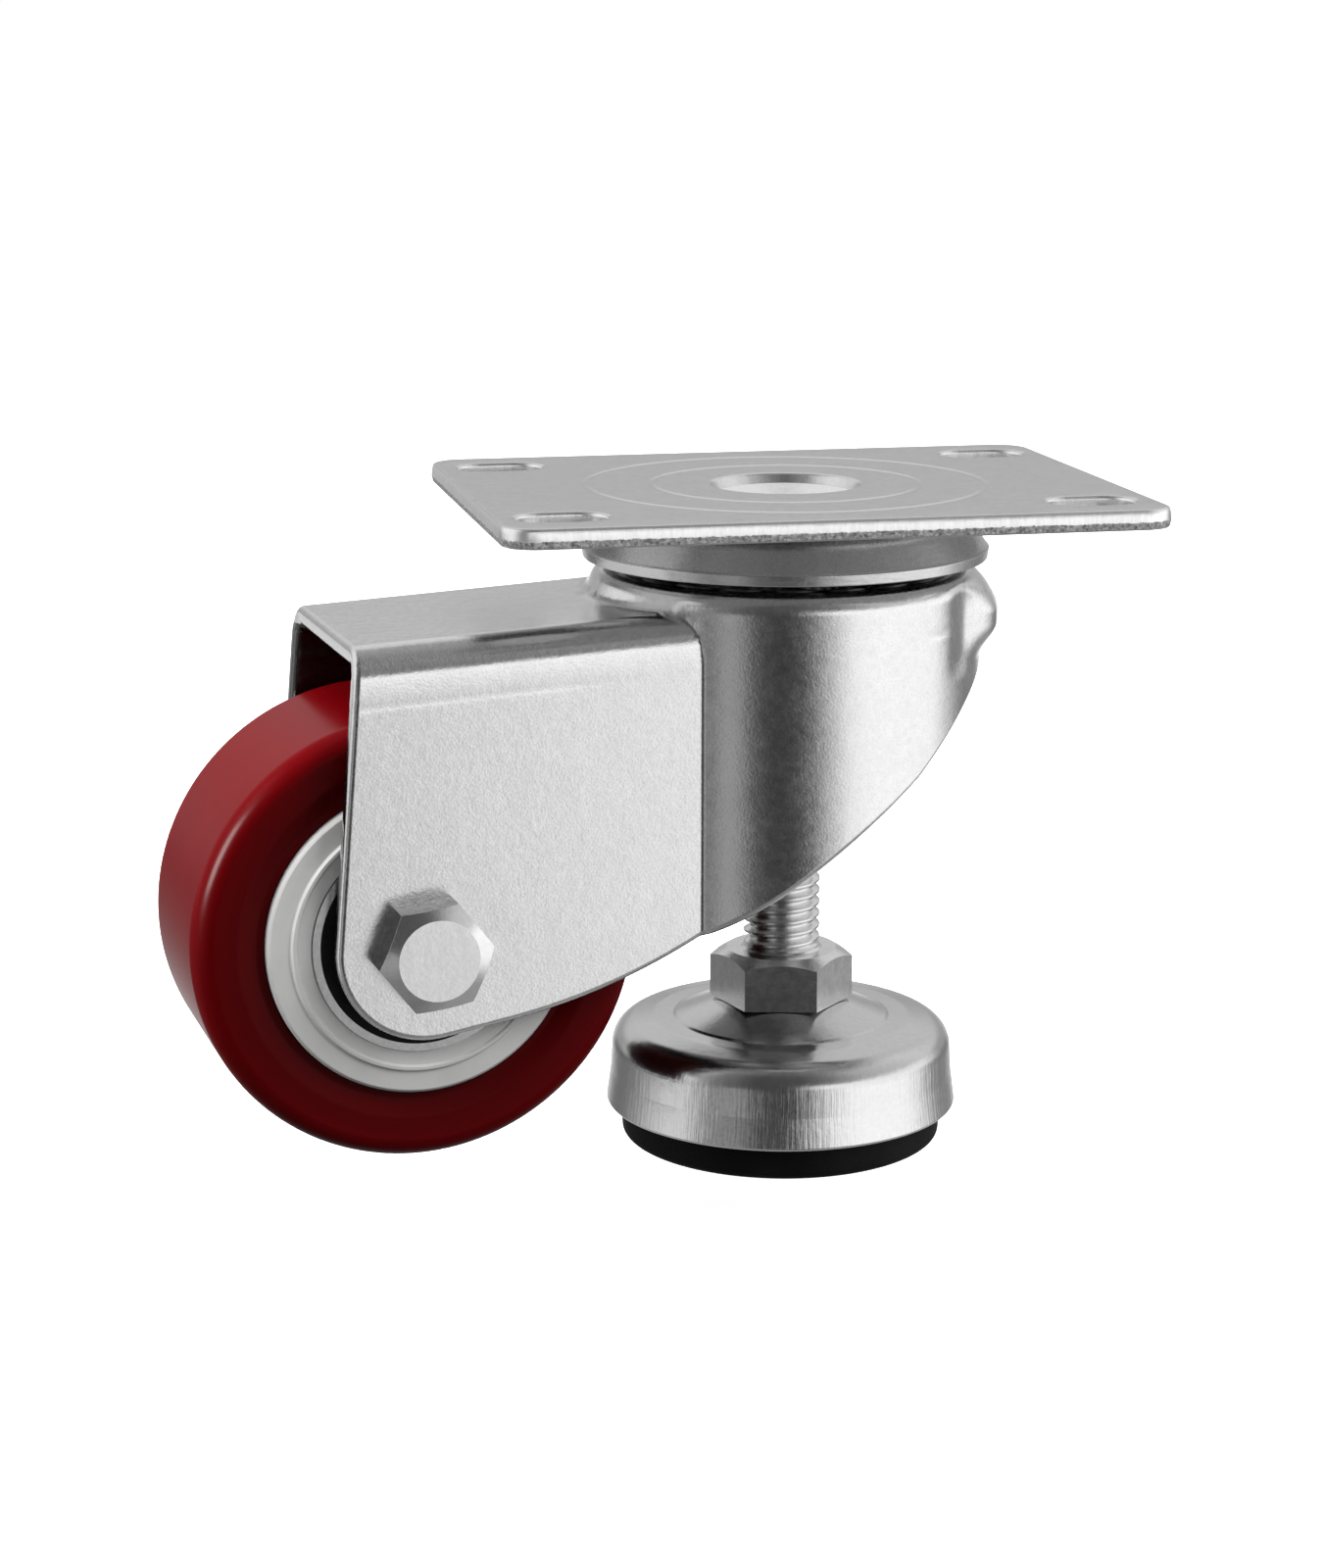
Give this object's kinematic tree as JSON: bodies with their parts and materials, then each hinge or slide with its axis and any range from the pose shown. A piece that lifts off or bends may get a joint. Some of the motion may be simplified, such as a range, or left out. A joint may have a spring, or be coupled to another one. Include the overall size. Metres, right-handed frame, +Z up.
{
  "type": "swivel plate caster with levelling foot",
  "caption": "Swivel plate caster with a trailing red wheel in a pressed steel fork, and a screw-adjusted steel foot with a rubber pad on the swivel axis.",
  "frame": {"origin": "centre of the top plate's upper face, on the swivel axis", "axes": "+Z up, out of the top plate; +X along the plate's long side, away from the wheel; at rest the fork is turned 6 degrees about +Z, so the wheel lies towards -X and slightly -Y"},
  "size_m": [0.098, 0.0516, 0.0693],
  "materials": {
    "plate_zinc": "zinc-plated pressed steel, fine mottled satin, bright sheared edges",
    "zinc_steel": "zinc-plated pressed steel, fine mottled satin",
    "cap_zinc": "zinc-plated spun steel, glossier, faint draw lines",
    "bright_zinc": "bright zinc-plated fastener steel",
    "bearing_steel": "polished hardened bearing steel",
    "cage_nylon": "natural moulded nylon",
    "blue_nylon": "locknut insert nylon",
    "hub_plastic": "moulded warm light grey plastic, semi-gloss",
    "red_polyurethane": "cast dark red polyurethane, glossy",
    "seal_rubber": "black nitrile seal",
    "pad_rubber": "matt black moulded rubber"
  },
  "bodies": {
    "plate": {"mounting_plate": "plate_zinc", "upper_race_cup": "zinc_steel", "kingpin": "bright_zinc", "lower_race_washer": "zinc_steel"},
    "upper_balls": {"upper_race_balls": "bearing_steel"},
    "lower_balls": {"lower_race_balls": "bearing_steel"},
    "fork": {"fork": "zinc_steel", "axle_bolt": "bright_zinc", "axle_nut": "bright_zinc", "nut_insert": "blue_nylon", "axle_sleeve": "zinc_steel", "axle_spacers": "zinc_steel", "bearing_spacer": "zinc_steel", "bearing_inner_rings": "bearing_steel"},
    "wheel": {"tyre": "red_polyurethane", "wheel_hub": "hub_plastic", "bearing_outer_rings": "bearing_steel", "bearing_seals": "seal_rubber"},
    "wheel_balls": {"bearing_balls": "bearing_steel", "bearing_cages": "cage_nylon"},
    "foot_base": {"foot_cap": "cap_zinc", "foot_washer": "zinc_steel", "rubber_pad": "pad_rubber"},
    "stem": {"levelling_stem": "bright_zinc"}
  },
  "joints": [
    {"name": "swivel", "type": "hinge", "parent": "plate", "child": "fork", "pos_m": [0, 0, -0.01], "axis": [0, 0, 1], "continuous": true},
    {"name": "upper_balls_roll", "type": "hinge", "parent": "plate", "child": "upper_balls", "pos_m": [0, 0, -0.0056], "axis": [0, 0, 1], "continuous": true},
    {"name": "lower_balls_roll", "type": "hinge", "parent": "plate", "child": "lower_balls", "pos_m": [0, 0, -0.0113], "axis": [0, 0, 1], "continuous": true},
    {"name": "wheel_spin", "type": "hinge", "parent": "fork", "child": "wheel", "pos_m": [-0.04147, -0.00436, -0.042], "axis": [-0.1045, 0.9945, 0], "continuous": true},
    {"name": "wheel_balls_roll", "type": "hinge", "parent": "fork", "child": "wheel_balls", "pos_m": [-0.04147, -0.00436, -0.042], "axis": [-0.1045, 0.9945, 0], "continuous": true},
    {"name": "foot_height", "type": "slide", "parent": "plate", "child": "foot_base", "axis": [0, 0, 1], "range_m": [-0.008, 0.01]},
    {"name": "stem_turn", "type": "hinge", "parent": "foot_base", "child": "stem", "pos_m": [0, 0, -0.05], "axis": [0, 0, 1], "range_deg": [-2304, 2880]}
  ],
  "couplings": [
    {"joint": "upper_balls_roll", "follows": "swivel", "ratio": 0.5},
    {"joint": "lower_balls_roll", "follows": "swivel", "ratio": 0.5},
    {"joint": "wheel_balls_roll", "follows": "wheel_spin", "ratio": 0.6315},
    {"joint": "stem_turn", "follows": "foot_height", "rad_per_m": 5026.5}
  ]
}
